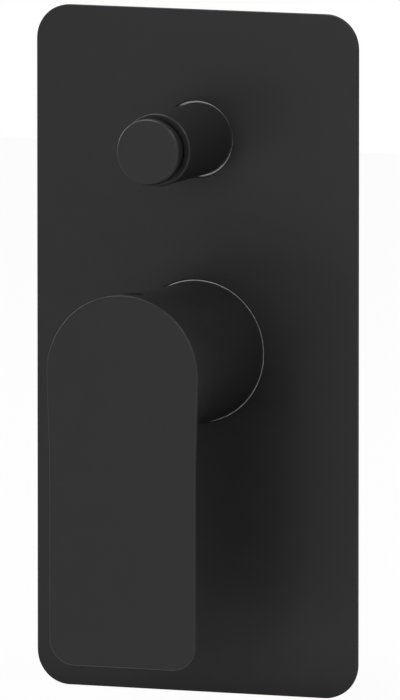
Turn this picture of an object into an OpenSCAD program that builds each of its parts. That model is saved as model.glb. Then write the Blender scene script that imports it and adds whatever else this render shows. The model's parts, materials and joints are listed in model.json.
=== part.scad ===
// Concealed single-lever shower mixer with a push-button diverter
// Millimetres. X to the right, Z up, Y into the wall.
// The origin lies on the lever's axis, on the face of the finished wall.

/* [Cover plate] */
// Width of the cover plate
plate_w = 110; // [100:1:140]
// Height of the cover plate
plate_h = 220; // [215:1:260]
// Thickness of the plate's sheet
plate_t = 2; // [1.5:0.1:3]
// Corner radius of the plate
plate_r = 11; // [6:0.5:20]
// Gap between the lever's sleeve and the edge of its hole
lever_hole_gap = 0.37; // [0.3:0.01:1]
// Gap between the button's sleeve and the edge of its hole
button_hole_gap = 0.65; // [0.5:0.05:1.2]
// Height of the button's axis above the lever's axis
axis_rise = 68.4; // [64:0.1:76]
// Thickness of the foam gasket behind the plate
gasket_t = 1; // [0.6:0.1:2]
// Width of the foam band
gasket_w = 5; // [3:0.5:8]
// Distance from the plate's edge to the foam band
gasket_inset = 3; // [2:0.5:6]
// How far the big hole's seal stays below the plate's front face
lever_lip_depth = 0.7; // [0.4:0.1:1.2]
// How far the small hole's seal stays below the plate's front face
button_lip_depth = 1.6; // [0.4:0.1:1.8]
// How wide the seals overlap the back of the plate
seal_overlap = 4; // [3:0.5:6]
// Thickness of the seals behind the plate
seal_t = 2.5; // [1.5:0.1:2.8]

/* [Lever] */
// Distance from the plate's front to the lever's front face
face_reach = 64.7; // [60:0.1:70]
// Distance from the plate's front to the rear rim of the lever's head
rim_reach = 41; // [39:0.5:42]
// Radius of the head at its rear rim
head_rear_r = 24; // [23.8:0.1:25]
// Radius of the head at the front face
head_face_r = 25.9; // [25.5:0.1:28]
// How far the front arc's centre lies below the lever's axis
head_drop = 0.8; // [0:0.1:1.5]
// Width of the paddle
paddle_w = 49.9; // [46:0.1:51.5]
// Distance from the axis to the paddle's tip
paddle_reach = 94; // [80:0.1:110]
// Radius of the paddle's corners
tip_r = 8.2; // [4:0.1:14]
// Thickness of the paddle in its middle
paddle_t = 7; // [5:0.5:9]
// Thickness of the face's edge
paddle_edge_t = 0.6; // [0.5:0.1:2]
// Width of the slope behind the paddle's edge
paddle_slope = 6; // [4:0.5:9]
// Thickness of the head's rim
head_wall = 1; // [0.8:0.1:1.2]
// Thickness of the head's front wall
head_floor = 6; // [5:0.5:8]
// Radius of the socket's boss
boss_r = 8; // [7.5:0.1:9]
// Depth of the boss below the head's front wall
boss_h = 13; // [11:0.5:15]
// Distance from the front face to the set screw's axis
screw_setback = 9.5; // [9:0.1:11]
// Radius of the set screw
screw_r = 2.5; // [2:0.25:3]
// Length of the set screw
screw_l = 10; // [8:1:14]
// Radius of the plug that closes the screw's hole
plug_r = 3.2; // [3:0.1:4.5]
// Depth of the seat of the plug's head
plug_t = 1.6; // [1.2:0.1:2.5]
// How far the plug's top lies below the head
plug_sink = 0.6; // [0.2:0.1:0.8]
// Gap round the plug's head
plug_gap = 0.6; // [0.2:0.05:0.8]

/* [Sleeves and button] */
// Outer radius of the lever's sleeve
sleeve_r = 22.7; // [22.4:0.1:23]
// Wall of the lever's sleeve
sleeve_wall = 1; // [0.8:0.05:1.1]
// Gap between the sleeve's front and the lever's rim
rim_gap = 1; // [0.8:0.1:1.2]
// Width of the lip inside the front of the lever's sleeve
sleeve_lip = 2; // [1:0.1:2.5]
// Outer radius of the button's sleeve
button_sleeve_r = 11.65; // [11.5:0.05:12]
// Wall of the button's sleeve
button_sleeve_wall = 0.9; // [0.75:0.05:1]
// Thickness of the front of the button's sleeve
button_sleeve_front_t = 1.2; // [1:0.1:2]
// Distance from the plate's front to the front of the button's sleeve
button_sleeve_reach = 35.3; // [33:0.1:35.5]
// Radius of the button's head
button_r = 10.6; // [10:0.05:11]
// Thickness of the button's head
button_head_t = 3.2; // [2.8:0.1:3.4]
// Bevel round the button's face
button_bevel = 0.5; // [0.3:0.05:0.7]
// Radius of the button's neck, which runs through the front of its sleeve
button_neck_r = 9.2; // [9:0.05:9.4]
// Distance from the plate's front to the button's face
button_reach = 42.8; // [42:0.1:46]
// Length of the button
button_l = 16; // [14:0.5:18]
// Wall of the button
button_wall = 1.2; // [1:0.1:2]
// Thickness of the button's front
button_floor = 3; // [2.5:0.1:4]
// Travel of the button
button_travel = 3.9; // [3:0.1:4]
// Narrow bevel on the fronts of both sleeves
edge_bevel = 0.3; // [0.1:0.05:0.35]

/* [Cartridge] */
// Radius of the cartridge
cartridge_r = 17.5; // [17.4:0.05:17.6]
// Depth of the cartridge's seat behind the wall face
seat_y = 2; // [1:0.5:4]
// Length of the cartridge from its seat to its shoulder
shoulder_l = 26; // [25:0.5:28]
// Length of the neck in front of the shoulder
neck_l = 11; // [10:0.5:12]
// Radius of the neck
neck_r = 14.3; // [14:0.1:14.5]
// Wall of the cartridge's housing
housing_wall = 1.6; // [1.2:0.1:1.8]
// Thickness of the cartridge's base
base_t = 6; // [5:0.5:7]
// Thickness of a ceramic disc
disc_t = 4; // [3:0.25:4.5]
// Radius of the fixed disc
fixed_disc_r = 15; // [14.5:0.1:15.5]
// Radius of the moving disc
moving_disc_r = 12.8; // [12:0.1:13]
// Thickness of the disc carrier
carrier_t = 5; // [4.5:0.25:5.5]
// Distance from the lever's pivot to the end of its lower arm
arm_l = 12; // [11:0.25:12.5]
// Largest lift of the lever in degrees
lift_max = 25; // [15:1:25]
// Width of the square spindle
spindle_w = 8; // [7:0.1:8.5]
// Radius of the pivot pin
pin_r = 1.5; // [1.25:0.05:1.75]
// Radius of the cartridge's ports
port_r = 3.2; // [2.5:0.1:3.5]
// Radius of the nut's thread
nut_thread_r = 19; // [18.8:0.1:19.2]
// Length of the nut's thread
nut_thread_l = 7; // [6:0.5:8]
// Height of the nut's hexagon
nut_head_l = 5; // [4:0.5:6]

/* [Valve body] */
// Depth of the pipe axes behind the wall face
pipe_y = 30; // [28:0.5:31]
// Distance from the centre to the end of an inlet
inlet_reach = 35; // [34:0.5:36]
// Height of the top outlet's end
top_reach = 101; // [98:0.5:106]
// Depth of the bottom outlet's end below the axis
bottom_reach = 42; // [40:0.5:60]
// Inner radius of the G1/2 threads
pipe_thread_r = 9.32; // [9.2:0.02:9.5]
// Length of the G1/2 threads
pipe_thread_l = 14; // [12:0.5:15]
// Outer radius of the pipe bosses
pipe_boss_r = 13; // [12.5:0.1:13.5]
// Radius of the block behind the cartridge
block_r = 25; // [24:0.5:26]
// Depth of the body's back behind the wall face
back_y = 46; // [45:0.5:47]
// Outer radius of the turret round the cartridge
turret_r = 21.2; // [21:0.05:21.25]
// Radius of the block behind the button
diverter_block_r = 14; // [13.5:0.5:15]
// Half the distance between the left and right screw lugs
lug_x = 27; // [26:0.5:28]
// Height of the upper screw lugs
lug_top_z = 34; // [30:1:36]
// Depth of the lower screw lugs below the axis
lug_low_z = 30; // [29:1:31]
// Radius of a screw lug
lug_r = 6.5; // [6:0.5:7]
// Thickness of a screw lug
lug_t = 6; // [5:0.5:8]
// Radius of the holes in the lugs
lug_hole_r = 2.75; // [2.5:0.05:3.25]

/* [Diverter] */
// Depth of the boss face of the diverter's gland
gland_y = 2; // [2:0.25:3]
// Radius of the gland's thread
gland_thread_r = 9.5; // [9.3:0.05:9.7]
// Length of the gland's thread
gland_thread_l = 8; // [7:0.25:8]
// Height of the gland's hexagon
gland_hex_l = 6; // [5:0.5:7]
// Width across the gland's hexagon
gland_hex_w = 18; // [17:0.25:18.25]
// Length of the gland's nose in front of the hexagon
gland_nose_l = 12; // [10:0.5:13]
// Radius of the gland's nose
gland_nose_r = 8.8; // [8.6:0.1:9]
// Radius of the diverter's spindle
rod_r = 3; // [2.5:0.1:3.2]
// Outer radius of the cage
cage_r = 8.4; // [8:0.05:8.6]
// Wall of the cage
cage_wall = 1.4; // [1.2:0.1:1.6]
// Position of the front valve seat
front_seat_y = 22.5; // [22:0.1:23]
// Distance between the two valve seats
seat_space = 10.5; // [10:0.1:11]
// Thickness of a valve seat
seat_rib = 2; // [1.5:0.1:2.5]
// Radius of the opening in a valve seat
seat_hole_r = 4.6; // [4.3:0.1:5]
// Thickness of a valve washer
washer_t = 3; // [2.5:0.1:3.2]
// Mean radius of the spring
spring_r = 5.6; // [5.4:0.1:6]
// Radius of the spring's wire
wire_r = 0.4; // [0.3:0.05:0.5]
// Number of turns of the spring
spring_turns = 7; // [5:1:9]

/* [Fits] */
// Running clearance of pins, rods and discs
run_gap = 0.05; // [0.03:0.01:0.08]
// Clearance between pieces that stay put
fit_gap = 0.05; // [0.03:0.01:0.1]
// Clearance between pieces that move past each other
free_gap = 0.3; // [0.25:0.01:0.35]

/* [Hidden] */
$fn = 96;
// Overlap where two shapes of one piece are joined
bit = 0.01;

// Small fixed sizes of the cartridge
arm_end_r = 2.6;
arm_root_r = 1.9;
pocket_floor = 0.3;
pocket_gap = 0.1;
carrier_pin_r = 1.5;
carrier_pin_x = 9;
disc_land = 5;
port_x = 8.5;
port_z = 4.5;
mix_port_z = -8;
seal_groove = 1.2;
locating_r = 2;
locating_l = 2.5;
locating_x = 12.5;
locating_z = -7;
slot_reach = 40;

// Small fixed sizes of the body, the diverter and the rubber rings
ring_setback = 9;
block_setback = 2;
riser_setback = 3;
shower_way_setback = 3;
shower_way_bite = 2.4;
bath_way_setback = 5;
collar_setback = 5;
strainer_t = 2;
strainer_r = 8.2;
strainer_hole_r = 0.7;
strainer_pitch = 2.3;
gland_washer_t = 1;
clip_t = 0.8;
clip_depth = 0.6;
window_w = 6;
window_l = 5.5;
button_boss_l = 6;
oring_r = 0.9;
small_oring_r = 0.8;
nose_oring_r = 1.3;
cage_oring_r = 0.5;
wire_sides = 8;
turn_steps = 16;

// Places along Y of the trim, from the room into the wall
plate_front = -(gasket_t + plate_t);
face_y = plate_front - face_reach;
rim_y = plate_front - rim_reach;
floor_y = face_y + head_floor;
boss_end = floor_y + boss_h;
screw_y = face_y + screw_setback;
spindle_front = floor_y + 1;
sleeve_front = rim_y + rim_gap;
sleeve_ring_y = plate_front - ring_setback;
button_face = plate_front - button_reach;
button_floor_y = button_face + button_floor;
button_head_back = button_face + button_head_t;
button_sleeve_front = plate_front - button_sleeve_reach;

// Places along Y of the cartridge and the body
block_front = seat_y + block_setback;
shoulder_y = seat_y - shoulder_l;
neck_front = shoulder_y - neck_l;
turret_front = shoulder_y - nut_thread_l;
nut_front = turret_front - nut_head_l;
base_front = seat_y - base_t;
fixed_front = base_front - free_gap - disc_t;
moving_back = fixed_front - run_gap;
moving_front = moving_back - disc_t;
carrier_front = moving_front - carrier_t;
holder_back = carrier_front - free_gap;
pocket_l = carrier_t - pocket_floor;
pivot_y = carrier_front + pocket_l - pocket_gap - arm_end_r - arm_l;
riser_y = pipe_y - riser_setback;

// Places along Y of the diverter
gland_front = gland_y - gland_hex_l - gland_nose_l;
button_ring_y = gland_front + gland_nose_l / 2;
spindle_ring_y = gland_y + 2;
cage_front = gland_y + gland_thread_l;
rear_seat_y = front_seat_y + seat_space;
cage_back = rear_seat_y + washer_t + button_travel + 1.5;
rod_back = rear_seat_y + washer_t + 1;
bath_way_y = rear_seat_y + bath_way_setback;
front_washer_y = front_seat_y - run_gap - button_travel - washer_t;
rear_washer_y = rear_seat_y + run_gap;
clip_places = [front_washer_y - clip_t, front_washer_y + washer_t,
    rear_washer_y - clip_t, rear_washer_y + washer_t];
window_places = [[front_seat_y - window_l - 0.5, window_l],
    [front_seat_y + seat_rib, seat_space - 2 * seat_rib],
    [rear_seat_y + 1.5, window_l]];
cage_ring_places = [front_seat_y + seat_rib / 2, rear_seat_y - seat_rib / 2];
spring_back = gland_front - wire_r - bit;
spring_front = button_floor_y + wire_r + bit;
spring_steps = spring_turns * turn_steps;

// Radii and lengths that follow from others
lever_hole_r = sleeve_r + lever_hole_gap;
button_hole_r = button_sleeve_r + button_hole_gap;
head_in_r = head_rear_r - head_wall;
sleeve_in_r = sleeve_r - sleeve_wall;
button_sleeve_in_r = button_sleeve_r - button_sleeve_wall;
housing_in_r = cartridge_r - housing_wall;
neck_in_r = neck_r - housing_wall;
holder_r = neck_in_r - 2 * run_gap;
pin_l = 2 * (neck_in_r - 2);
spindle_root_r = spindle_w / 2 + 0.6;
seal_r = port_r + 1;
disc_travel = arm_l * sin(lift_max);
disc_offset = disc_travel / 2;
collar_l = pipe_thread_l - collar_setback;
collar_w = 2 * (pipe_boss_r + 0.4);
inlet_way_r = 2 * port_r;
riser_r = port_r - 0.2;
bath_way_r = port_r - 0.4;
valve_washer_r = cage_r - cage_wall - free_gap;
button_boss_r = spring_r - wire_r - free_gap;

// Top of the head above the set screw, and the seat of its plug
head_top_z = head_rear_r + (head_face_r - head_drop - head_rear_r) * (rim_y - screw_y) / (rim_y - face_y);
plug_seat_z = head_top_z - plug_t;

// Heights between which the head's arc runs into the paddle's straight edge
waist_top = -3.4;
waist_low = -29;
waist_bend = 1.15;
waist_w = sqrt(pow(head_face_r, 2) - pow(waist_top + head_drop, 2));

// A round bar along Y from y0 to y1
module bar_y(r, y0, y1, x = 0, z = 0) {
    translate([x, y0, z]) rotate([-90, 0, 0]) cylinder(r = r, h = y1 - y0);
}

// A round bar along X, centred on x = 0
module bar_x(r, l, y) {
    translate([-l / 2, y, 0]) rotate([0, 90, 0]) cylinder(r = r, h = l);
}

// A tube along Y
module tube_y(r_out, r_in, y0, y1, z = 0) {
    difference() {
        bar_y(r_out, y0, y1, 0, z);
        bar_y(r_in, y0 - 1, y1 + 1, 0, z);
    }
}

// A six-sided bar along Y, w across its flats
module hex_y(w, y0, y1, z = 0) {
    translate([0, y0, z]) rotate([-90, 0, 0]) cylinder(d = w / cos(30), h = y1 - y0, $fn = 6);
}

// A drawn tube along Y whose front is turned inwards to the radius r_mouth, t thick
module drawn_sleeve(r_out, r_in, r_mouth, t, y0, y1) rotate([-90, 0, 0]) rotate_extrude() polygon([
    [r_mouth, y0], [r_out - edge_bevel, y0], [r_out, y0 + edge_bevel], [r_out, y1],
    [r_in, y1], [r_in, y0 + t], [r_mouth, y0 + t]]);

// A flat seal behind the plate whose lip fills the gap between a sleeve and its hole
module hole_seal(tube_r, hole_r, lip_depth) rotate([-90, 0, 0]) rotate_extrude() polygon([
    [tube_r + fit_gap, plate_front + lip_depth], [hole_r - fit_gap, plate_front + lip_depth],
    [hole_r - fit_gap, -gasket_t], [hole_r + seal_overlap, -gasket_t],
    [hole_r + seal_overlap, seal_t - gasket_t], [tube_r + fit_gap, seal_t - gasket_t]]);

// A rubber ring whose axis is Y
module oring(r_mid, r_wire, y) {
    translate([0, y, 0]) rotate([-90, 0, 0]) rotate_extrude() translate([r_mid, 0]) circle(r_wire, $fn = 24);
}

// Groove for a rubber ring round a bar of radius r_out along Y
module ring_groove(r_out, r_in, r_wire, y, z = 0) difference() {
    bar_y(r_out + 1, y - r_wire - bit, y + r_wire + bit, 0, z);
    bar_y(r_in - 2 * bit, y - r_wire - 1, y + r_wire + 1, 0, z);
}

// A slab in the XZ plane with round corners, from y0 to y1
module rounded_slab(w, h, r, y0, y1) {
    translate([0, y1, 0]) rotate([90, 0, 0]) linear_extrude(y1 - y0) union() {
        square([w - 2 * r, h], center = true);
        square([w, h - 2 * r], center = true);
        for (sx = [-1, 1], sz = [-1, 1]) translate([sx * (w / 2 - r), sz * (h / 2 - r)]) circle(r);
    }
}

module cover_plate() color([0.10, 0.10, 0.10]) difference() {
    rounded_slab(plate_w, plate_h, plate_r, plate_front, -gasket_t);
    bar_y(lever_hole_r, plate_front - 1, 1);
    bar_y(button_hole_r, plate_front - 1, 1, 0, axis_rise);
}

// The foam band is open in its middle, where the body comes through the wall
module plate_gasket() color([0.25, 0.25, 0.26]) {
    band_w = plate_w - 2 * gasket_inset;
    band_h = plate_h - 2 * gasket_inset;
    band_r = max(plate_r - gasket_inset, 1);
    difference() {
        rounded_slab(band_w, band_h, band_r, -gasket_t, 0);
        rounded_slab(band_w - 2 * gasket_w, band_h - 2 * gasket_w, max(band_r - gasket_w, 1),
            -gasket_t - 1, 1);
    }
}

module lever_hole_seal() color([0.92, 0.92, 0.90]) hole_seal(sleeve_r, lever_hole_r, lever_lip_depth);

module button_hole_seal() color([0.92, 0.92, 0.90]) translate([0, 0, axis_rise])
    hole_seal(button_sleeve_r, button_hole_r, button_lip_depth);

// Its front lies before the cartridge's nut
module lever_sleeve() color([0.09, 0.09, 0.09])
    drawn_sleeve(sleeve_r, sleeve_in_r, sleeve_in_r - sleeve_lip, sleeve_wall, sleeve_front, block_front);

module sleeve_oring() color([0.12, 0.12, 0.12])
    oring(sleeve_in_r - oring_r - bit, oring_r, sleeve_ring_y);

module button_sleeve() color([0.09, 0.09, 0.09]) translate([0, 0, axis_rise])
    drawn_sleeve(button_sleeve_r, button_sleeve_in_r, button_neck_r + free_gap, button_sleeve_front_t,
        button_sleeve_front, gland_y);

module button_sleeve_oring() color([0.12, 0.12, 0.12]) translate([0, 0, axis_rise])
    oring(button_sleeve_in_r - nose_oring_r - bit, nose_oring_r, button_ring_y);

// One end of the body's pipework along +Z, with a hexagon collar round the thread
module pipe_boss(reach) {
    cylinder(r = pipe_boss_r, h = reach);
    translate([0, 0, reach - collar_l]) rotate(30) cylinder(d = collar_w / cos(30), h = collar_l, $fn = 6);
}

// Thread of one pipe end along +Z
module thread_bore(reach) translate([0, 0, reach - pipe_thread_l])
    cylinder(r = pipe_thread_r, h = pipe_thread_l + 1);

// Thread, strainer seat and waterway of an inlet along +Z
module inlet_bore() {
    thread_bore(inlet_reach);
    translate([0, 0, inlet_reach - pipe_thread_l - strainer_t]) cylinder(r = strainer_r, h = strainer_t + 1);
    translate([0, 0, port_x - 2]) cylinder(r = inlet_way_r, h = inlet_reach - port_x);
}

// Slanting waterway from the diverter's front chamber up to the shower outlet
module shower_way() {
    from = [front_seat_y - shower_way_setback, axis_rise + cage_r - shower_way_bite];
    to = [riser_y, top_reach - pipe_thread_l + 2];
    translate([0, from.x, from.y]) rotate([-atan2(to.x - from.x, to.y - from.y), 0, 0])
        cylinder(r = riser_r, h = norm(to - from));
}

// Cast brass body: turret for the cartridge, two inlets, two outlets and the diverter's chamber
module valve_body() color([0.72, 0.56, 0.28]) difference() {
    union() {
        bar_y(turret_r, turret_front, block_front + 1);
        bar_y(block_r, block_front, back_y);
        bar_y(diverter_block_r, gland_y, back_y, 0, axis_rise);
        for (side = [-90, 90]) translate([0, pipe_y, 0]) rotate([0, side, 0]) pipe_boss(inlet_reach);
        translate([0, pipe_y, 0]) pipe_boss(top_reach);
        translate([0, pipe_y, 0]) rotate([180, 0, 0]) pipe_boss(bottom_reach);
        for (sx = [-1, 1], z = [lug_top_z, -lug_low_z]) {
            bar_y(lug_r, back_y - lug_t, back_y, sx * lug_x, z);
            translate([min(0, sx * lug_x), back_y - lug_t, z - lug_r]) cube([lug_x, lug_t, 2 * lug_r]);
        }
    }
    bar_y(cartridge_r + fit_gap, turret_front - 1, seat_y);
    bar_y(nut_thread_r, turret_front - 1, shoulder_y + 0.5);
    ring_groove(turret_r, sleeve_in_r - 2 * oring_r, oring_r, sleeve_ring_y);
    for (side = [-90, 90]) translate([0, pipe_y, 0]) rotate([0, side, 0]) inlet_bore();
    for (sx = [-1, 1]) {
        bar_y(port_r, seat_y - 1, pipe_y, sx * port_x, port_z);
        bar_y(locating_r + fit_gap, seat_y - 1, seat_y + locating_l + 0.5, sx * locating_x, locating_z);
    }
    bar_y(port_r, seat_y - 1, riser_y, 0, mix_port_z);
    translate([0, riser_y, mix_port_z]) cylinder(r = riser_r, h = axis_rise - mix_port_z);
    translate([0, pipe_y, 0]) thread_bore(top_reach);
    shower_way();
    translate([0, pipe_y, 0]) rotate([180, 0, 0]) thread_bore(bottom_reach);
    translate([0, bath_way_y, pipe_thread_l - bottom_reach - 0.5])
        cylinder(r = bath_way_r, h = axis_rise + bottom_reach - pipe_thread_l);
    bar_y(gland_thread_r, gland_y - 1, cage_front, 0, axis_rise);
    bar_y(cage_r + fit_gap, gland_y, cage_back, 0, axis_rise);
    for (sx = [-1, 1], z = [lug_top_z, -lug_low_z])
        bar_y(lug_hole_r, back_y - lug_t - 1, back_y + 1, sx * lug_x, z);
}

// Perforated discs that keep grit out of the cartridge
module inlet_strainers() color([0.80, 0.80, 0.78]) for (side = [-90, 90])
    translate([0, pipe_y, 0]) rotate([0, side, 0])
    translate([0, 0, inlet_reach - pipe_thread_l - strainer_t]) difference() {
        cylinder(r = strainer_r - fit_gap, h = strainer_t);
        for (ring = [1, 2], k = [0 : ring * 6 - 1])
            rotate(k * 60 / ring) translate([ring * strainer_pitch, 0, -1])
                cylinder(r = strainer_hole_r, h = strainer_t + 2, $fn = 16);
    }

// Presses on the shoulder of the cartridge
module cartridge_nut() color([0.75, 0.60, 0.32]) difference() {
    union() {
        bar_y(nut_thread_r - fit_gap, turret_front - 1, shoulder_y);
        hex_y(2 * (sleeve_in_r - free_gap) * cos(30), nut_front, turret_front - free_gap);
    }
    bar_y(neck_r + fit_gap, nut_front - 1, shoulder_y + 1);
}

module cartridge_housing() color([0.85, 0.85, 0.82]) difference() {
    union() {
        bar_y(cartridge_r, shoulder_y, base_front);
        bar_y(neck_r, neck_front, shoulder_y + 1);
    }
    bar_y(housing_in_r, shoulder_y + housing_wall, base_front + 1);
    bar_y(neck_in_r, neck_front - 1, shoulder_y + 2);
}

// Middle of a port on the base: 0 cold, 1 hot, 2 mixed
function port_place(k) = k == 2 ? [0, mix_port_z] : [(k == 0 ? 1 : -1) * port_x, port_z];

module port_grooves(y0, y1, grow) for (k = [0 : 2])
    bar_y(seal_r + grow, y0, y1, port_place(k).x, port_place(k).y);

module cartridge_base() color([0.30, 0.30, 0.32]) difference() {
    union() {
        bar_y(cartridge_r, base_front + bit, seat_y);
        bar_y(housing_in_r - fit_gap, base_front, seat_y);
        for (sx = [-1, 1]) bar_y(locating_r, seat_y - 1, seat_y + locating_l, sx * locating_x, locating_z);
    }
    for (k = [0 : 2]) bar_y(port_r, base_front - 1, seat_y + 1, port_place(k).x, port_place(k).y);
    port_grooves(seat_y - seal_groove, seat_y + 1, fit_gap);
    port_grooves(base_front - 1, base_front + seal_groove, fit_gap);
}

module port_seal(y0, y1) for (k = [0 : 2]) difference() {
    bar_y(seal_r, y0, y1, port_place(k).x, port_place(k).y);
    bar_y(port_r - 0.4, y0 - 1, y1 + 1, port_place(k).x, port_place(k).y);
}

module base_seals() color([0.10, 0.10, 0.10]) port_seal(seat_y - seal_groove, seat_y);

module disc_seals() color([0.10, 0.10, 0.10]) port_seal(base_front - free_gap, base_front + seal_groove);

// Ceramic disc with two inlet ports and one mixed port
module fixed_disc() color([0.93, 0.92, 0.88]) difference() {
    bar_y(fixed_disc_r, fixed_front, fixed_front + disc_t);
    for (k = [0 : 2]) bar_y(port_r, fixed_front - 1, base_front, port_place(k).x, port_place(k).y);
}

// Two pins between the carrier and the moving disc
module carrier_pins(r, y0, y1) for (sx = [-1, 1]) bar_y(r, y0, y1, sx * carrier_pin_x, disc_offset);

// Ceramic disc that slides down as the lever lifts; its hollow joins the ports
module moving_disc() color([0.88, 0.88, 0.86]) difference() {
    bar_y(moving_disc_r, moving_front, moving_back, 0, disc_offset);
    bar_y(moving_disc_r - disc_land, moving_back - disc_t / 2, moving_back + 1, 0, disc_offset);
    carrier_pins(carrier_pin_r + fit_gap, moving_front - 1, moving_front + carrier_pin_r + 0.1);
}

// Carries the moving disc and takes the end of the spindle's lower arm
module disc_carrier() color([0.20, 0.35, 0.55]) difference() {
    union() {
        bar_y(moving_disc_r, carrier_front, moving_front, 0, disc_offset);
        carrier_pins(carrier_pin_r, moving_front - 1, moving_front + carrier_pin_r);
    }
    bar_y(arm_end_r + 0.25, carrier_front - 1, carrier_front + pocket_l);
}

// Turns in the neck; its slot leaves room for the spindle's lift
module spindle_holder() color([0.92, 0.92, 0.90]) difference() {
    union() {
        bar_y(holder_r, neck_front, holder_back);
        bar_y(housing_in_r - free_gap, shoulder_y + housing_wall + free_gap, holder_back);
    }
    translate([-spindle_w / 2 - 2 * run_gap, 0, 0]) rotate([90, 0, 90])
        linear_extrude(spindle_w + 4 * run_gap) holder_slot();
    bar_x(pin_r + fit_gap / 2, pin_l + 2 * fit_gap, pivot_y);
}

// Outline, in Y and Z, of the space that the spindle sweeps
module holder_slot() translate([pivot_y, 0]) {
    half = spindle_w / 2 + free_gap;
    arm_half = arm_end_r + free_gap;
    circle(spindle_root_r + 2 * free_gap);
    for (a = [0 : lift_max / 5 : lift_max]) rotate(-a) {
        translate([-slot_reach, -half]) square([slot_reach, 2 * half]);
        translate([0, -arm_half]) square([slot_reach, 2 * arm_half]);
    }
}

module pivot_pin() color([0.80, 0.80, 0.82]) bar_x(pin_r, pin_l, pivot_y);

// Square brass spindle on its pin, with a ball at the end of its lower arm
module lever_spindle() color([0.78, 0.64, 0.36]) difference() {
    union() {
        translate([-spindle_w / 2, spindle_front, -spindle_w / 2])
            cube([spindle_w, pivot_y - spindle_front, spindle_w]);
        bar_x(spindle_root_r, spindle_w, pivot_y);
        bar_y(arm_root_r, pivot_y, pivot_y + arm_l);
        translate([0, pivot_y + arm_l, 0]) sphere(r = arm_end_r, $fn = 48);
    }
    bar_x(pin_r + run_gap, 2 * spindle_w, pivot_y);
}

// Half the width of the lever's front from the head's arc, t = 0, to the paddle's straight edge, t = 1
function waist_half(t) = waist_w + (paddle_w / 2 - waist_w) * (1 - pow(1 - t, waist_bend));

// Front outline of the waist and the paddle; the top of the waist lies inside the head
module paddle_outline() {
    steps = 12;
    side = [for (k = [0 : steps]) [waist_half(k / steps), waist_top + (waist_low - waist_top) * k / steps]];
    mid = [head_rear_r, head_rear_r / 8];
    mirrored = [for (k = [len(side) - 1 : -1 : 0]) [-side[k].x, side[k].y]];
    polygon(concat([mid], side, mirrored, [[-mid.x, mid.y]]));
    translate([-paddle_w / 2, tip_r - paddle_reach])
        square([paddle_w, waist_low + paddle_reach - tip_r + bit]);
    translate([tip_r - paddle_w / 2, -paddle_reach]) square([paddle_w - 2 * tip_r, tip_r + bit]);
    for (sx = [-1, 1]) translate([sx * (paddle_w / 2 - tip_r), tip_r - paddle_reach]) circle(tip_r);
}

// Thin slice of the paddle's back, drawn in by inset
module paddle_slice(inset, y) {
    r = tip_r - inset / 2;
    half = paddle_w / 2 - inset - r;
    for (sx = [-1, 1], z = [inset + r - paddle_reach, waist_low + tip_r]) bar_y(r, y, y + bit, sx * half, z);
}

// Cast lever: a deep round head that runs into a thin flat paddle with a sloping back
module lever() color([0.10, 0.10, 0.10]) difference() {
    union() {
        translate([0, face_y + paddle_edge_t, 0]) rotate([90, 0, 0]) linear_extrude(paddle_edge_t)
            paddle_outline();
        hull() {
            translate([0, 0, -head_drop]) bar_y(head_face_r, face_y, face_y + paddle_edge_t);
            bar_y(head_rear_r, rim_y - paddle_edge_t, rim_y);
        }
        hull() {
            paddle_slice(paddle_edge_t / 3, face_y + paddle_edge_t / 2, $fn = 48);
            paddle_slice(paddle_slope, face_y + paddle_t - bit, $fn = 48);
        }
    }
    difference() {
        bar_y(head_in_r, floor_y, rim_y + 1);
        bar_y(boss_r, floor_y - 1, boss_end);
        translate([-2 * screw_r, floor_y - 1, 0])
            cube([4 * screw_r, screw_y + 2 * screw_r + 2 - floor_y, head_face_r]);
    }
    translate([-spindle_w / 2 - fit_gap, spindle_front - 0.5, -spindle_w / 2 - fit_gap])
        cube([spindle_w + 2 * fit_gap, boss_h + 2, spindle_w + 2 * fit_gap]);
    translate([0, screw_y, spindle_w / 2]) cylinder(r = screw_r, h = head_face_r);
    translate([0, screw_y, plug_seat_z]) cylinder(r = plug_r + plug_gap, h = 4 * plug_t);
}

module set_screw() color([0.55, 0.55, 0.57]) translate([0, screw_y, spindle_w / 2 + fit_gap]) difference() {
    cylinder(r = screw_r - fit_gap, h = screw_l);
    translate([0, 0, screw_l - 1.2 * screw_r]) cylinder(d = screw_r / cos(30), h = 2 * screw_r, $fn = 6);
}

module index_plug() color([0.08, 0.08, 0.08]) translate([0, screw_y, 0]) union() {
    translate([0, 0, plug_seat_z]) cylinder(r = plug_r, h = plug_t - plug_sink);
    translate([0, 0, plug_seat_z - 2 * plug_t]) cylinder(r = screw_r - fit_gap, h = 2 * plug_t + bit);
}

// Brass gland that closes the diverter's chamber and guides its spindle
module diverter_gland() color([0.75, 0.60, 0.32]) translate([0, 0, axis_rise]) difference() {
    union() {
        bar_y(gland_thread_r - fit_gap, gland_y - bit, cage_front - gland_washer_t);
        hex_y(gland_hex_w, gland_y - gland_hex_l, gland_y);
        bar_y(gland_nose_r, gland_front, gland_y - gland_hex_l + bit);
    }
    bar_y(rod_r + run_gap, gland_front - 1, cage_front);
    bar_y(rod_r + 2 * small_oring_r, spindle_ring_y - small_oring_r, spindle_ring_y + small_oring_r);
    ring_groove(gland_nose_r, button_sleeve_in_r - 2 * nose_oring_r, nose_oring_r, button_ring_y);
}

// Squeezed between the gland's end and the front of the cage
module gland_washer() color([0.85, 0.30, 0.20])
    tube_y(gland_thread_r - fit_gap, cage_r - cage_wall, cage_front - gland_washer_t, cage_front, axis_rise);

module spindle_oring() color([0.12, 0.12, 0.12]) translate([0, 0, axis_rise])
    oring(rod_r + small_oring_r + run_gap, small_oring_r - run_gap, spindle_ring_y);

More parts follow.
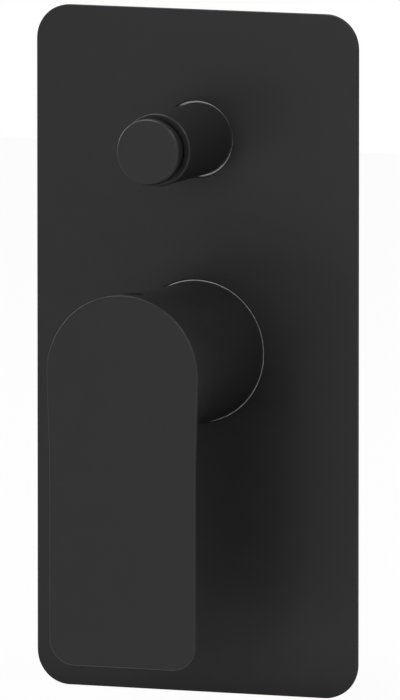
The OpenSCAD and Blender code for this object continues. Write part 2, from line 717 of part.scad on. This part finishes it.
// Cage with two valve seats and windows before, between and behind them
module diverter_cage() color([0.90, 0.90, 0.86]) translate([0, 0, axis_rise]) difference() {
    bar_y(cage_r, cage_front, cage_back);
    bar_y(cage_r - cage_wall, cage_front - 1, front_seat_y);
    bar_y(cage_r - cage_wall, front_seat_y + seat_rib, rear_seat_y - seat_rib);
    bar_y(cage_r - cage_wall, rear_seat_y, cage_back + 1);
    bar_y(seat_hole_r, cage_front, cage_back);
    for (p = window_places, a = [0, 90]) rotate([0, a, 0]) translate([-window_w / 2, p.x, -cage_r - 1])
        cube([window_w, p.y, 2 * cage_r + 2]);
    for (y = cage_ring_places) ring_groove(cage_r, cage_r + fit_gap - 2 * cage_oring_r, cage_oring_r, y);
}

module cage_orings() color([0.12, 0.12, 0.12]) translate([0, 0, axis_rise])
    for (y = cage_ring_places) oring(cage_r + fit_gap - cage_oring_r - bit, cage_oring_r, y);

// Steel rod with the button at its front and the two valve washers at its back
module diverter_spindle() color([0.80, 0.80, 0.82]) translate([0, 0, axis_rise]) difference() {
    bar_y(rod_r, button_floor_y + bit, rod_back);
    for (y = clip_places) difference() {
        bar_y(rod_r + 1, y, y + clip_t);
        bar_y(rod_r - clip_depth, y - 1, y + clip_t + 1);
    }
}

module valve_washers() color([0.12, 0.12, 0.12]) {
    tube_y(valve_washer_r, rod_r + bit, front_washer_y, front_washer_y + washer_t, axis_rise);
    tube_y(valve_washer_r, rod_r + bit, rear_washer_y, rear_washer_y + washer_t, axis_rise);
}

module retaining_clips() color([0.60, 0.60, 0.62])
    for (y = clip_places)
        tube_y(seat_hole_r - free_gap, rod_r - clip_depth + bit, y + bit, y + clip_t - bit, axis_rise);

// Helical wire, swept as rings of points along its turns
function wire_point(k, j) =
    let (a = 360 * spring_turns * k / spring_steps, b = 360 * j / wire_sides)
    [(spring_r + wire_r * cos(b)) * cos(a),
        spring_front + (spring_back - spring_front) * k / spring_steps + wire_r * sin(b),
        (spring_r + wire_r * cos(b)) * sin(a)];

module diverter_spring() color([0.70, 0.70, 0.72]) translate([0, 0, axis_rise]) polyhedron(
    points = [for (k = [0 : spring_steps], j = [0 : wire_sides - 1]) wire_point(k, j)],
    faces = concat(
        [[for (j = [0 : wire_sides - 1]) j]],
        [for (k = [0 : spring_steps - 1], j = [0 : wire_sides - 1])
            let (a = k * wire_sides, n = (j + 1) % wire_sides)
            [a + j, a + wire_sides + j, a + wire_sides + n, a + n]],
        [[for (j = [wire_sides - 1 : -1 : 0]) spring_steps * wire_sides + j]]));

// Button with a round head and a hollow neck, screwed to its spindle
module diverter_button() color([0.10, 0.10, 0.10]) translate([0, 0, axis_rise]) difference() {
    rotate([-90, 0, 0]) rotate_extrude() polygon([
        [0, button_face], [button_r - button_bevel, button_face], [button_r, button_face + button_bevel],
        [button_r, button_head_back], [button_neck_r, button_head_back],
        [button_neck_r, button_face + button_l], [button_neck_r - button_wall, button_face + button_l],
        [button_neck_r - button_wall, button_floor_y], [button_boss_r, button_floor_y],
        [button_boss_r, button_floor_y + button_boss_l], [0, button_floor_y + button_boss_l]]);
    bar_y(rod_r + bit, button_floor_y, button_face + button_l);
}

cover_plate();
plate_gasket();
lever_hole_seal();
button_hole_seal();
lever_sleeve();
sleeve_oring();
button_sleeve();
button_sleeve_oring();
valve_body();
inlet_strainers();
cartridge_nut();
cartridge_housing();
cartridge_base();
base_seals();
disc_seals();
fixed_disc();
moving_disc();
disc_carrier();
spindle_holder();
pivot_pin();
lever_spindle();
lever();
set_screw();
index_plug();
diverter_gland();
gland_washer();
spindle_oring();
diverter_cage();
cage_orings();
diverter_spindle();
valve_washers();
retaining_clips();
diverter_spring();
diverter_button();
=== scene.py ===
"""Shower mixer in matte black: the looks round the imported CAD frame. Metres."""
from collections import namedtuple
import json
import math

import bmesh
import bpy
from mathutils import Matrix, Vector


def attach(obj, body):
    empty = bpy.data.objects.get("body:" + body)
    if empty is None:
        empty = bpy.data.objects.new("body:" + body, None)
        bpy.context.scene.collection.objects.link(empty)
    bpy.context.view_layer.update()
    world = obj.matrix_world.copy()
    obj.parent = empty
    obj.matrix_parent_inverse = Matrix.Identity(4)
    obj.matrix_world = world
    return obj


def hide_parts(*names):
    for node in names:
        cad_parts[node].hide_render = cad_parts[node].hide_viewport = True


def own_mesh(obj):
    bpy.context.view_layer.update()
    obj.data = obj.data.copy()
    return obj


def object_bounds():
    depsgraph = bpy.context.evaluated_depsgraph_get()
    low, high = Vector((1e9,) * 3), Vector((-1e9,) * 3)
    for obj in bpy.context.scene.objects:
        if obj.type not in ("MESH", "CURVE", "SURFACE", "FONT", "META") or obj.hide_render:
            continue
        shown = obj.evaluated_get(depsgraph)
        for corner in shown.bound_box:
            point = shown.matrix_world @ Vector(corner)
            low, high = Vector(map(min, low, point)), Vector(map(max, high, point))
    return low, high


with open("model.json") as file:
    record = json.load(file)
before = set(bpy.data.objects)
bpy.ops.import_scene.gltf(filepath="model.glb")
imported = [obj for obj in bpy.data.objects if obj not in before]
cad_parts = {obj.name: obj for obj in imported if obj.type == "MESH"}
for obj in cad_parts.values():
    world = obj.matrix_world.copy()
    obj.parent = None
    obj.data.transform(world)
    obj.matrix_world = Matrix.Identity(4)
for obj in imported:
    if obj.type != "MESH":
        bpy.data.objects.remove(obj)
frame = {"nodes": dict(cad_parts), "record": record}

MM = 0.001
cad_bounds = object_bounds()
nodes = frame["nodes"]
record = frame["record"]
body_of_node = {n: b for b, members in record["behaviour"]["bodies"].items() for n in members}
slot_of_node = {s["node"]: s["material_slot"] for s in record["subparts"]}

# A threaded port's middle, outward direction, inner radius and length
Port = namedtuple("Port", "middle axis radius length")
ports = [Port(Vector(m["pos_m"]), Vector(m["axis"]), m["dims"]["r_mm"] * MM, m["dims"]["length_mm"] * MM)
         for m in record["mounts"] if m["kind"] == "threaded_hole"]

# The ports' pipe thread, its rings to a pitch and the sides of a ring
THREAD_PITCH = 1.814 * MM
THREAD_DEPTH = 1.162 * MM
THREAD_STEPS = 8
THREAD_SIDES = 72
# Plain wall left at each end of a thread
PLAIN_RIM = 0.7 * MM
# How near a point lies to a surface that it is part of
NEAR = 0.05 * MM
# Cosines between an axis and the normals of faces: at most this beside it, at least this across it
BESIDE = 0.05
ACROSS = 0.99
# Points closer than this are one, and faces that bend less than this are one
SAME_POINT = 0.0005 * MM
SAME_PLANE = math.radians(0.1)
# Edges that bend more than this are sharp
SHARP = math.radians(30)
# Shortest smooth and sharp edges beside which the casting's rounding has room
SMOOTH_ROOM = 1.0 * MM
SHARP_ROOM = 0.3 * MM

# The camera looks at the trim from the right and a little above, from far away
CAMERA_AZIMUTH = math.radians(21.364)
CAMERA_ELEVATION = math.radians(6.925)
CAMERA_DISTANCE = 5.5
IMAGE_HEIGHT_PX = 700
PX_PER_METRE = 3121.98
SENSOR = 36
aim = Vector((1.209, -3.0, 0.467)) * MM

# The floor lies a little below the object and reaches this far to each side
FLOOR_GAP = 0.2 * MM
FLOOR_REACH = 1.5
# Its grey as it lights the object, and how white it is where the camera sees it, with the share of that
FLOOR_GREY = 170
FLOOR_WHITE = 1.03
FLOOR_SHARE = 0.93
# Surfaces mirror it as white too, from the wall face forward, and fully from this depth on
MIRRORED_FROM = -0.06

# The studio as a light: in front, behind and on the left, where 1 is white
LIGHT_FRONT = 0.5
LIGHT_BACK = 0.25
LIGHT_LEFT = 0.4
# How bright the studio behind the object is where a surface mirrors it
MIRRORED_BACK = 0.4
# Where these change, as parts of a direction of length 1, which is -1 in front or on the left
FRONT_TO_BACK = (-0.2, 0.3)
LEFT_TO_RIGHT = (-0.5, 0.1)
SIDE_TO_BACK = (0.1, 0.5)
# Name, place, width and brightness of each lamp
LAMPS = (
    ("front_box", (0.12, -2.0, 0.1), 1.0, 4.2),
    ("top_box", (-0.45, -0.2, 1.3), 0.9, 5.0),
    ("left_box", (-1.25, 0.2, 0.5), 0.8, 3.6),
    ("right_box", (1.1, -0.2, 1.1), 0.8, 5.0),
)
WHITE = (1, 1, 1, 1)


def make_camera():
    """The camera, which faces the aim from its azimuth and elevation."""
    back = Vector((
        math.sin(CAMERA_AZIMUTH) * math.cos(CAMERA_ELEVATION),
        -math.cos(CAMERA_AZIMUTH) * math.cos(CAMERA_ELEVATION),
        math.sin(CAMERA_ELEVATION)))
    data = bpy.data.cameras.new("camera")
    data.sensor_width = SENSOR
    data.lens = PX_PER_METRE * CAMERA_DISTANCE / IMAGE_HEIGHT_PX * SENSOR
    data.clip_end = 3 * CAMERA_DISTANCE
    camera = bpy.data.objects.new("camera", data)
    camera.location = aim + back * CAMERA_DISTANCE
    camera.rotation_mode = "QUATERNION"
    camera.rotation_quaternion = (-back).to_track_quat("-Z", "Y")
    bpy.context.scene.collection.objects.link(camera)
    bpy.context.scene.camera = camera


make_camera()
bpy.context.scene.view_settings.view_transform = "Standard"


# Materials

def grey(value):
    """Linear grey for an sRGB value from 0 to 255."""
    c = value / 255
    c = c / 12.92 if c <= 0.04045 else ((c + 0.055) / 1.055) ** 2.4
    return (c, c, c)


def tint(red, green, blue):
    """Linear colour for sRGB values from 0 to 255."""
    return tuple(grey(v)[0] for v in (red, green, blue))


class Shading:
    """Short ways to add, set and join the nodes of a tree."""

    def __init__(self, tree):
        self.tree = tree

    def add(self, kind, sockets=None, **settings):
        """A new node with settings, and with constants in the sockets named."""
        node = self.tree.nodes.new(kind)
        for key, value in settings.items():
            setattr(node, key, value)
        for key, value in (sockets or {}).items():
            node.inputs[key].default_value = value
        return node

    def link(self, a, b):
        self.tree.links.new(a, b)

    def ramp(self, value, start, end, low=0, high=1):
        """A value that goes from low to high while the given one goes from start to end."""
        ends = {"From Min": start, "From Max": end, "To Min": low, "To Max": high}
        node = self.add("ShaderNodeMapRange", ends)
        self.link(value, node.inputs["Value"])
        return node.outputs["Result"]

    def combine(self, operation, a, b):
        """The result of an operation on two outputs."""
        node = self.add("ShaderNodeMath", operation=operation)
        self.link(a, node.inputs[0])
        self.link(b, node.inputs[1])
        return node.outputs[0]

    def mix(self, share, first, second, output):
        """Shows the first shader on an output node, and the second one by its share."""
        node = self.add("ShaderNodeMixShader")
        self.link(share, node.inputs[0])
        self.link(first.outputs[0], node.inputs[1])
        self.link(second.outputs[0], node.inputs[2])
        self.link(node.outputs[0], output.inputs["Surface"])


class Surface(Shading):
    """A Principled material with noise in its colour, its roughness and its bump."""

    def __init__(self, name, colour, roughness, metallic=0.0, specular=0.5):
        self.material = bpy.data.materials.new(name)
        self.material.use_nodes = True
        super().__init__(self.material.node_tree)
        self.shader = self.tree.nodes["Principled BSDF"]
        self.colour = colour
        self.shader.inputs["Base Color"].default_value = (*colour, 1)
        self.shader.inputs["Roughness"].default_value = roughness
        self.shader.inputs["Metallic"].default_value = metallic
        self.shader.inputs["Specular IOR Level"].default_value = specular
        self.place = self.add("ShaderNodeTexCoord").outputs["Object"]
        self.normal = None

    def noise(self, size, detail=2.0, stretch=None):
        """Noise whose grains are about size metres across."""
        node = self.add("ShaderNodeTexNoise", {"Scale": 1 / size, "Detail": detail})
        place = self.place
        if stretch:
            mapping = self.add("ShaderNodeMapping", {"Scale": stretch})
            self.link(place, mapping.inputs["Vector"])
            place = mapping.outputs["Vector"]
        self.link(place, node.inputs["Vector"])
        return node.outputs["Fac"]

    def spread(self, noise, low, high):
        """Noise from low to high. Most of it lies between 0.3 and 0.7 before."""
        return self.ramp(noise, 0.3, 0.7, low, high)

    def vary_roughness(self, size, low, high):
        self.link(self.spread(self.noise(size), low, high), self.shader.inputs["Roughness"])
        return self

    def vary_colour(self, size, other, detail=3.0):
        """Mixes the colour towards another one in patches."""
        mix = self.add("ShaderNodeMix", {6: (*self.colour, 1), 7: (*other, 1)}, data_type="RGBA")
        self.link(self.spread(self.noise(size, detail), 0, 1), mix.inputs[0])
        self.link(mix.outputs[2], self.shader.inputs["Base Color"])
        return self

    def bump(self, size, depth, detail=2.0, stretch=None):
        """Raises the surface by about depth metres in grains of size metres."""
        node = self.add("ShaderNodeBump", {"Strength": 1, "Distance": depth})
        self.link(self.noise(size, detail, stretch), node.inputs["Height"])
        if self.normal:
            self.link(self.normal, node.inputs["Normal"])
        self.normal = node.outputs["Normal"]
        self.link(self.normal, self.shader.inputs["Normal"])
        return self


def powder_coat(name, value):
    """Matte black powder coat: fine orange peel and a soft sheen."""
    coat = Surface(name, grey(value), 0.42, specular=0.32)
    coat.vary_roughness(6 * MM, 0.4, 0.44)
    coat.vary_colour(9 * MM, grey(value + 2))
    coat.bump(0.7 * MM, 0.012 * MM).bump(0.18 * MM, 0.003 * MM)
    return coat.material


def moulded(name, colour, roughness, lighter=0.08):
    """Moulded plastic or rubber with patches that are lighter by a share, and a fine skin."""
    part = Surface(name, colour, roughness, specular=0.4)
    part.vary_colour(5 * MM, tuple(min(c * (1 + lighter) + 0.002, 1) for c in colour))
    part.vary_roughness(3 * MM, roughness - 0.05, roughness + 0.05)
    part.bump(0.25 * MM, 0.004 * MM)
    return part.material


def cast_brass(name):
    """Sand-cast brass: a dull grainy skin with darker patches."""
    brass = Surface(name, tint(176, 141, 87), 0.46, metallic=1.0)
    brass.vary_colour(12 * MM, tint(146, 112, 66))
    brass.vary_roughness(4 * MM, 0.4, 0.58)
    brass.bump(1.1 * MM, 0.09 * MM, detail=4).bump(0.3 * MM, 0.02 * MM)
    return brass.material


def turned_brass(name):
    """Turned brass: brighter, with fine rings round the tool's axis."""
    brass = Surface(name, tint(205, 170, 108), 0.26, metallic=1.0)
    brass.vary_colour(8 * MM, tint(199, 163, 101), detail=1.0)
    brass.vary_roughness(3 * MM, 0.23, 0.31)
    brass.bump(0.25 * MM, 0.003 * MM, stretch=(0.1, 1, 0.1))
    return brass.material


def bright_steel(name):
    """Drawn stainless steel with fine lines."""
    steel = Surface(name, tint(190, 191, 193), 0.24, metallic=1.0)
    steel.vary_colour(6 * MM, tint(172, 174, 178))
    steel.vary_roughness(2 * MM, 0.18, 0.32)
    steel.bump(0.2 * MM, 0.003 * MM, stretch=(1, 0.1, 1))
    return steel.material


def foam(name):
    """Closed-cell foam: dull, with fine pores."""
    part = Surface(name, grey(62), 0.9, specular=0.2)
    part.vary_colour(1.2 * MM, grey(40))
    part.vary_roughness(2 * MM, 0.82, 0.98)
    part.bump(0.8 * MM, 0.12 * MM, detail=4)
    return part.material


def fired_ceramic(name):
    """Fired and lapped ceramic, off white."""
    part = Surface(name, tint(236, 232, 222), 0.2)
    part.vary_colour(4 * MM, tint(226, 221, 210))
    part.vary_roughness(3 * MM, 0.14, 0.26)
    part.bump(0.3 * MM, 0.002 * MM)
    return part.material


MATERIALS = {
    "black_plate": powder_coat("powder_coat_plate", 26),
    "black_lever": powder_coat("powder_coat_lever", 25),
    "black_turned": powder_coat("powder_coat_turned", 28),
    "black_plastic": moulded("black_plastic", grey(24), 0.45),
    "foam": foam("grey_foam"),
    "white_silicone": moulded("white_silicone", tint(246, 246, 244), 0.5, 0.02),
    "black_rubber": moulded("black_rubber", grey(30), 0.62),
    "cast_brass": cast_brass("cast_brass"),
    "turned_brass": turned_brass("turned_brass"),
    "steel": bright_steel("bright_steel"),
    "white_plastic": moulded("white_plastic", tint(222, 222, 216), 0.4, 0.04),
    "grey_plastic": moulded("grey_plastic", grey(96), 0.42),
    "blue_plastic": moulded("blue_plastic", tint(46, 86, 140), 0.4),
    "red_fibre": moulded("red_fibre", tint(150, 58, 44), 0.75),
    "disc_ceramic": fired_ceramic("disc_ceramic"),
}


# Pieces

def dress_cad_nodes():
    """Gives each CAD node the material of its slot."""
    for name, obj in nodes.items():
        obj.data.materials.clear()
        obj.data.materials.append(MATERIALS[slot_of_node[name]])


def new_piece(name, work, body, slot):
    """An object from a working mesh, which rides on a body and has a slot's material."""
    mesh = bpy.data.meshes.new(name)
    work.to_mesh(mesh)
    work.free()
    mesh.shade_smooth()
    mesh.materials.append(MATERIALS[slot])
    piece = bpy.data.objects.new(name, mesh)
    bpy.context.scene.collection.objects.link(piece)
    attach(piece, body)
    return piece


def copied_node(node, name, merge=SAME_POINT, change=None):
    """A copy of a CAD node, which change may alter, and which stands for the node."""
    work = bmesh.new()
    work.from_mesh(nodes[node].data)
    bmesh.ops.remove_doubles(work, verts=work.verts, dist=merge)
    bmesh.ops.dissolve_limit(work, angle_limit=SAME_PLANE, verts=work.verts, edges=work.edges)
    if change:
        change(work)
    piece = new_piece(name, work, body_of_node[node], slot_of_node[node])
    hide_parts(node)
    return piece


def mark_sharp_edges(work):
    """Marks the sharp edges as sharp, and for rounding. Open rims are only sharp."""
    work.normal_update()
    weight = work.edges.layers.float.new("bevel_weight_edge")
    for edge in work.edges:
        if edge.is_boundary:
            edge.smooth = False
        elif edge.calc_face_angle(0) > SHARP:
            edge.smooth = False
            edge[weight] = 1


def rounded_copy(node, name, width, merge=SAME_POINT, before=None, after=None):
    """A copy of a CAD node with its sharp edges rounded, which before and after may alter."""
    def change(work):
        if before:
            before(work)
        mark_sharp_edges(work)
        if after:
            after(work)

    piece = copied_node(node, name, merge, change)
    bevel = piece.modifiers.new("rounded_edges", "BEVEL")
    bevel.width = width
    bevel.segments = 3
    bevel.limit_method = "WEIGHT"
    flat = piece.modifiers.new("flat_faces", "WEIGHTED_NORMAL")
    flat.keep_sharp = True
    return piece


def round_front(work):
    """Rounds the outline of the lever's flat front face by more than its other edges."""
    front = min(v.co.y for v in work.verts) + NEAR
    outline = [e for e in work.edges
               if all(v.co.y < front for v in e.verts) and e.calc_face_angle() > SHARP]
    bmesh.ops.bevel(work, geom=outline, offset=0.5 * MM, offset_type="OFFSET", segments=4, profile=0.5,
                    affect="EDGES", clamp_overlap=True)


def radius_from(point, port):
    """A point's distance from a port's axis."""
    offset = point - port.middle
    return (offset - port.axis * offset.dot(port.axis)).length


def open_ports(work):
    """Takes away the plain walls of the ports, where the threads go, and marks their ends as machined."""
    walls = set()
    for port in ports:
        half = port.length / 2
        for face in work.faces:
            along = [abs((v.co - port.middle).dot(port.axis)) for v in face.verts]
            on_wall = all(abs(radius_from(v.co, port) - port.radius) < NEAR for v in face.verts)
            facing = face.normal.dot(port.axis)
            if on_wall and max(along) < half + NEAR and abs(facing) < BESIDE:
                walls.add(face)
            elif facing > ACROSS and abs(min(along) - half) < NEAR:
                face.material_index = 1
    bmesh.ops.delete(work, geom=list(walls), context="FACES")


def thread_ring(work, port, along, reach):
    """One closed ring of vertices of a port's thread, which runs out towards both ends of its reach."""
    turn = port.axis.to_track_quat("Z", "Y").to_matrix()
    runout = min(1, (reach / 2 - abs(along)) / THREAD_PITCH)
    ring = []
    for j in range(THREAD_SIDES):
        share = j / THREAD_SIDES
        flank = 1 - abs(2 * ((along / THREAD_PITCH - share) % 1) - 1)
        groove = flank ** 2 * (3 - 2 * flank) * runout
        r = port.radius + THREAD_DEPTH * groove
        angle = 2 * math.pi * share
        place = Vector((r * math.cos(angle), r * math.sin(angle), along))
        ring.append(work.verts.new(port.middle + turn @ place))
    return ring


def in_half(edge, port, end):
    """True for an edge in the half of a port that end points to along its axis."""
    offsets = [v.co - port.middle for v in edge.verts]
    return all(offset.dot(port.axis) * end > 0 and offset.length < port.length for offset in offsets)


def cut_threads(work):
    """Joins the pipe threads to the open rims of the ports."""
    rims = [e for e in work.edges if e.is_boundary]
    threads = []
    for port in ports:
        reach = port.length - 2 * PLAIN_RIM
        count = round(reach / THREAD_PITCH * THREAD_STEPS)
        rings = [thread_ring(work, port, (k / count - 0.5) * reach, reach) for k in range(count + 1)]
        for last, ring in zip(rings, rings[1:]):
            for j in range(THREAD_SIDES):
                n = (j + 1) % THREAD_SIDES
                threads.append(work.faces.new((ring[j], ring[n], last[n], last[j])))
        for ring in (rings[0], rings[-1]):
            end = (ring[0].co - port.middle).dot(port.axis)
            rim = [e for e in rims if in_half(e, port, end)]
            own = [work.edges.get((ring[j - 1], ring[j])) for j in range(THREAD_SIDES)]
            threads += bmesh.ops.bridge_loops(work, edges=rim + own)["faces"]
    for face in threads:
        face.material_index = 1
    bmesh.ops.recalc_face_normals(work, faces=work.faces)


def outlines(edges):
    """Groups of edges that hang together."""
    left = set(edges)
    while left:
        group = [left.pop()]
        for edge in group:
            found = {e for v in edge.verts for e in v.link_edges} & left
            left -= found
            group += found
        yield group


def has_room(edge):
    """True where no edge beside this one is so short that its rounding would cross it."""
    beside = [e for v in edge.verts for e in v.link_edges]
    return all(e.calc_length() > (SMOOTH_ROOM if e.smooth else SHARP_ROOM) for e in beside)


def choose_rounded(work):
    """Leaves for rounding the outward outlines that have room and run into no other surface."""
    weight = work.edges.layers.float["bevel_weight_edge"]
    sharp = [e for e in work.edges if e[weight] > 0]
    for edge in sharp:
        edge[weight] = 0
    for group in outlines(e for e in sharp if e.is_convex):
        ends = [v for e in group for v in e.verts]
        if all(ends.count(v) > 1 for v in ends) and all(has_room(e) for e in group):
            for edge in group:
                edge[weight] = 1


def make_body():
    """The cast body with machined port ends and threads."""
    def finish(work):
        choose_rounded(work)
        cut_threads(work)

    body = rounded_copy("valve_body", "body_casting", 0.35 * MM, before=open_ports, after=finish)
    body.modifiers["rounded_edges"].use_clamp_overlap = False
    body.data.materials.append(MATERIALS["turned_brass"])


def make_spring():
    """The diverter's spring, copied from its CAD node, with a mesh of its own."""
    spring = copied_node("diverter_spring", "spring_wire")
    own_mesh(spring)


# Studio

def make_floor():
    """Pale floor under the object that keeps a faint shadow."""
    low = cad_bounds[0].z - FLOOR_GAP
    corners = [(x * FLOOR_REACH, y * FLOOR_REACH, low) for x, y in ((-1, -1), (1, -1), (1, 1), (-1, 1))]
    mesh = bpy.data.meshes.new("floor")
    mesh.from_pydata(corners, [], [(0, 1, 2, 3)])
    floor = bpy.data.objects.new("floor", mesh)
    bpy.context.scene.collection.objects.link(floor)
    surface = Surface("pale_floor", grey(FLOOR_GREY), 0.9, specular=0.1)
    surface.vary_colour(40 * MM, grey(FLOOR_GREY - 4))
    rays = surface.add("ShaderNodeLightPath").outputs
    parts = surface.add("ShaderNodeSeparateXYZ")
    surface.link(surface.place, parts.inputs[0])
    front = surface.ramp(parts.outputs["Y"], 0, MIRRORED_FROM)
    mirrored = surface.combine("MULTIPLY", front, rays["Is Glossy Ray"])
    direct = surface.combine("MAXIMUM", rays["Is Camera Ray"], mirrored)
    seen = surface.add("ShaderNodeMath", {1: FLOOR_SHARE}, operation="MULTIPLY")
    surface.link(direct, seen.inputs[0])
    glow = surface.add("ShaderNodeEmission", {"Color": WHITE, "Strength": FLOOR_WHITE})
    surface.mix(seen.outputs[0], surface.shader, glow, surface.tree.nodes["Material Output"])
    mesh.materials.append(surface.material)


def make_world():
    """White studio, full white where the camera sees it, and weaker where it lights the object."""
    world = bpy.data.worlds.new("studio")
    world.use_nodes = True
    bpy.context.scene.world = world
    world.node_tree.nodes.clear()
    shading = Shading(world.node_tree)
    rays = shading.add("ShaderNodeLightPath").outputs
    place = shading.add("ShaderNodeTexCoord")
    parts = shading.add("ShaderNodeSeparateXYZ")
    shading.link(place.outputs["Generated"], parts.inputs[0])
    depth = shading.ramp(parts.outputs["Y"], *FRONT_TO_BACK, LIGHT_FRONT, LIGHT_BACK)
    side = shading.ramp(parts.outputs["X"], *LEFT_TO_RIGHT, LIGHT_LEFT, 1)
    level = shading.combine("MULTIPLY", depth, side)
    behind = shading.ramp(parts.outputs["Y"], *SIDE_TO_BACK, 0, MIRRORED_BACK)
    mirrored = shading.combine("MULTIPLY", behind, rays["Is Glossy Ray"])
    light = shading.add("ShaderNodeBackground", {"Color": WHITE})
    shading.link(shading.combine("MAXIMUM", level, mirrored), light.inputs["Strength"])
    seen = shading.add("ShaderNodeBackground", {"Color": WHITE})
    direct = shading.combine("MAXIMUM", rays["Is Camera Ray"], rays["Is Transmission Ray"])
    shading.mix(direct, light, seen, shading.add("ShaderNodeOutputWorld"))


def soft_lamp(name, place, size, glow):
    """Square area lamp at place, size metres wide, that faces the object and is as bright as glow x white."""
    data = bpy.data.lights.new(name, "AREA")
    data.shape = "SQUARE"
    data.size = size
    data.energy = glow * math.pi * size ** 2
    lamp = bpy.data.objects.new(name, data)
    lamp.location = place
    lamp.rotation_mode = "QUATERNION"
    lamp.rotation_quaternion = (-Vector(place)).to_track_quat("-Z", "Y")
    lamp.visible_camera = False
    bpy.context.scene.collection.objects.link(lamp)


dress_cad_nodes()
rounded_copy("cover_plate", "plate_sheet", 0.25 * MM)
# The lever's larger merge takes out slivers of its mesh that its rounding would trip over
rounded_copy("lever", "lever_casting", 0.15 * MM, merge=NEAR, before=round_front)
rounded_copy("index_plug", "plug_cap", 0.2 * MM)
rounded_copy("lever_sleeve", "lever_sleeve_tube", 0.1 * MM)
rounded_copy("button_sleeve", "button_sleeve_tube", 0.08 * MM)
rounded_copy("diverter_button", "button_cup", 0.15 * MM)
# Only cleaned, because the CAD node's mesh has two tiny open edges
copied_node("lever_spindle", "spindle_bar", change=mark_sharp_edges)
make_body()
make_spring()
make_floor()
make_world()
for lamp in LAMPS:
    soft_lamp(*lamp)
